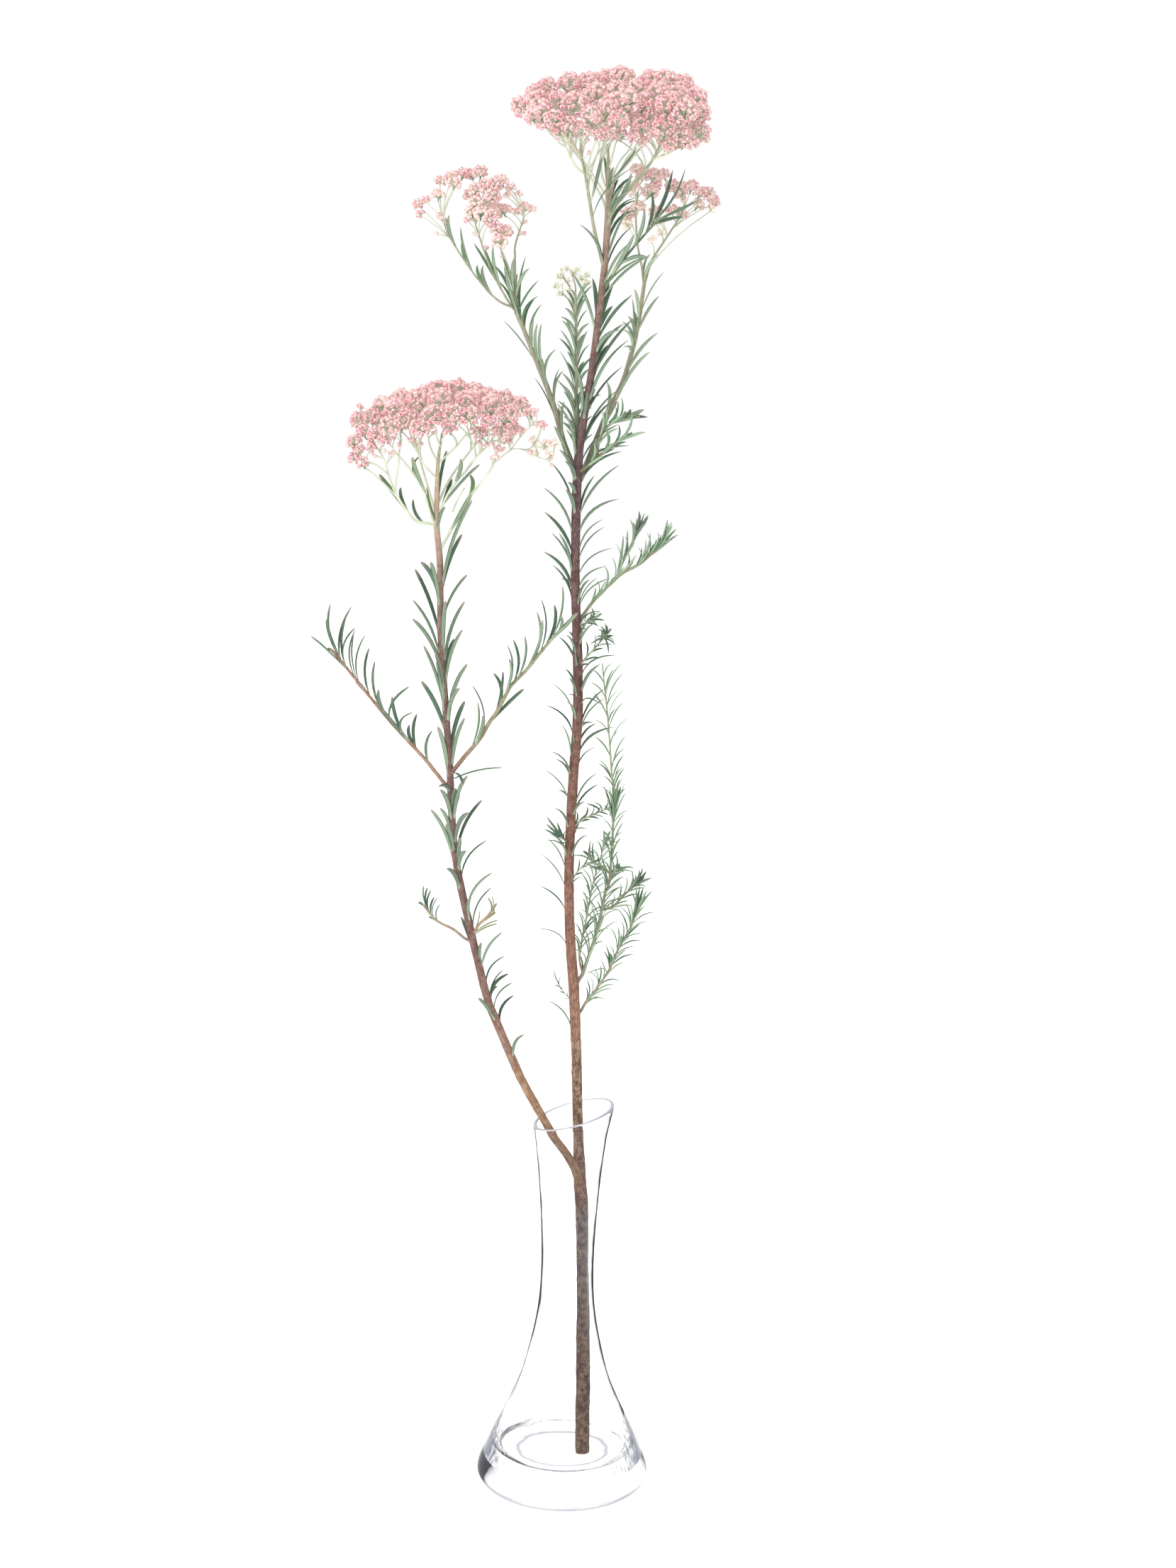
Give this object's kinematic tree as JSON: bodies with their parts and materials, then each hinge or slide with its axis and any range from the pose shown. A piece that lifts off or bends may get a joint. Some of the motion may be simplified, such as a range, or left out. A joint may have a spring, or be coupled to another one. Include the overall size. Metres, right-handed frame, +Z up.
{
  "type": "dried flower branch in a bud vase",
  "caption": "Dried rice flower branch with narrow leaves and flat pink flower heads, standing in a clear glass bud vase with a slanted rim.",
  "frame": {"origin": "centre of the vase's underside, on the surface that it stands on", "axes": "+Z up, +X to the right of the front view, +Y away from the front"},
  "size_m": [0.2078, 0.109, 0.7743],
  "materials": {
    "vase_glass": "clear, polished",
    "bare_wood": "bare twig bark, fine lengthwise grain",
    "leafy_stem": "dry purplish-brown bark and dark green leaves",
    "leafy_shoot": "dry green leaves on thin green-brown shoots",
    "dry_twig": "dead, tan",
    "flower_stalks": "downy grey-green",
    "flower_buds": "papery, dusky pink with pale rims"
  },
  "bodies": {
    "root": {"glass_vase": "vase_glass", "woody_trunk": "bare_wood", "right_stem": "leafy_stem", "left_stem": "leafy_stem", "left_outer_shoot": "leafy_shoot", "left_crossing_shoot": "leafy_shoot", "left_low_twig": "leafy_shoot", "left_dry_twig": "dry_twig", "right_arching_shoot": "leafy_shoot", "right_back_shoot": "leafy_shoot", "right_front_shoot": "leafy_shoot", "right_back_left_shoot": "leafy_shoot", "right_middle_shoot": "leafy_shoot", "right_small_shoot": "leafy_shoot", "right_tall_shoot": "leafy_shoot", "right_low_shoot": "leafy_shoot", "top_head_stalks": "flower_stalks", "left_head_stalks": "flower_stalks", "top_head_buds": "flower_buds", "top_head_buds_2": "flower_buds", "top_head_buds_3": "flower_buds", "left_head_buds": "flower_buds", "left_head_buds_2": "flower_buds", "left_head_buds_3": "flower_buds", "left_head_buds_4": "flower_buds", "arching_head_buds_1": "flower_buds", "arching_head_buds_2": "flower_buds", "back_head_buds_1": "flower_buds", "back_head_buds_2": "flower_buds"}
  },
  "joints": []
}
